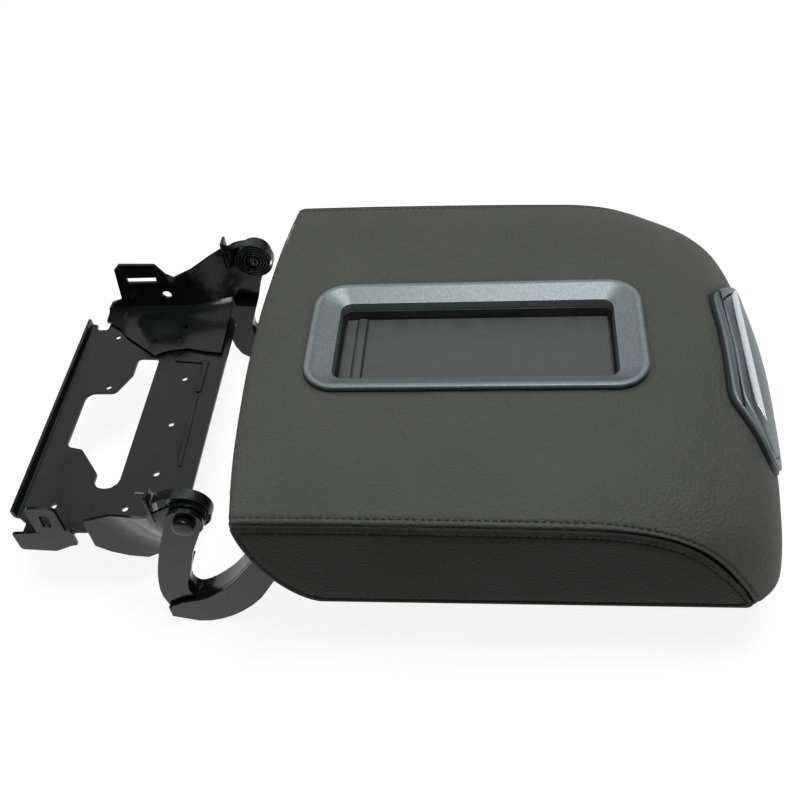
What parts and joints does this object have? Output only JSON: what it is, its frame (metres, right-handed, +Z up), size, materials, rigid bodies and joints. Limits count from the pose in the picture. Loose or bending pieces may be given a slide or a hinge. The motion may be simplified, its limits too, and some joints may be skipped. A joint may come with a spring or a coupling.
{
  "type": "center console armrest lid",
  "caption": "Padded leather armrest lid with a phone tray and front latch, on gooseneck arms pivoted to a stamped hinge bracket with clock springs.",
  "frame": {"origin": "centre of the footprint of the whole assembly as pictured, on the plane through its lowest point", "axes": "+X from the hinge bracket towards the latch along the lid, +Y across the lid to the bracket side with the ramp, +Z up out of the lid's padded top"},
  "size_m": [0.5569, 0.332, 0.156],
  "materials": {
    "leather": "grained warm gray leather, satin",
    "pad_foam": "open-cell cushion foam, matt",
    "black_plastic": "fine-grained black",
    "bezel_paint": "satin blue-gray metallic paint",
    "bright_trim": "bright satin",
    "mat_rubber": "diamond knurl, matt",
    "black_steel": "glossy black coat",
    "spring_steel": "oil-blackened strip"
  },
  "bodies": {
    "bracket": {"hinge_bracket_plate": "black_steel", "near_side_bracket": "black_steel", "far_side_bracket": "black_steel", "near_pivot_washer": "black_plastic", "far_pivot_washer": "black_plastic", "near_clock_spring": "spring_steel", "far_clock_spring": "spring_steel"},
    "lid": {"leather_top_cover": "leather", "near_side_panel": "leather", "far_side_panel": "leather", "foam_pad": "pad_foam", "lid_substrate": "black_plastic", "underside_liner": "black_plastic", "tray_bezel": "bezel_paint", "phone_tray": "black_plastic", "tray_mat_small": "mat_rubber", "tray_mat_large": "mat_rubber", "tray_rib": "black_plastic", "latch_frame": "bezel_paint", "latch_housing": "black_plastic", "latch_handle_pin": "black_steel", "hook_bracket": "black_steel", "latch_hook_pin": "black_steel", "near_hinge_arm": "black_steel", "far_hinge_arm": "black_steel", "near_arm_doubler": "black_steel", "far_arm_doubler": "black_steel", "near_pivot_pin": "black_steel", "far_pivot_pin": "black_steel", "arm_screw_near_1": "black_steel", "arm_screw_near_2": "black_steel", "arm_screw_far_1": "black_steel", "arm_screw_far_2": "black_steel", "liner_screw_near_1": "black_steel", "liner_screw_near_2": "black_steel", "liner_screw_near_3": "black_steel", "liner_screw_far_1": "black_steel", "liner_screw_far_2": "black_steel", "liner_screw_far_3": "black_steel", "bumper_near_1": "mat_rubber", "bumper_near_2": "mat_rubber", "bumper_far_1": "mat_rubber", "bumper_far_2": "mat_rubber"},
    "handle": {"latch_handle": "bezel_paint", "latch_bright_strip": "bright_trim"},
    "hook": {"latch_hook": "black_steel"}
  },
  "joints": [
    {"name": "lid_hinge", "type": "hinge", "parent": "bracket", "child": "lid", "pos_m": [-0.1262, 0, 0.11995], "axis": [0, 1, 0], "range_deg": [0, 80], "stiffness_Nm_per_rad": 1.6, "springref_deg": -57.3},
    {"name": "latch_handle_hinge", "type": "hinge", "parent": "lid", "child": "handle", "pos_m": [0.24493, 0, 0.1376], "axis": [0, -1, 0], "range_deg": [0, 12], "stiffness_Nm_per_rad": 0.3, "springref_deg": -14.32},
    {"name": "latch_hook_hinge", "type": "hinge", "parent": "lid", "child": "hook", "pos_m": [0.2508, 0, 0.07495], "axis": [0, 1, 0], "range_deg": [0, 10]}
  ],
  "couplings": [
    {"joint": "latch_hook_hinge", "follows": "latch_handle_hinge", "ratio": 0.8}
  ]
}
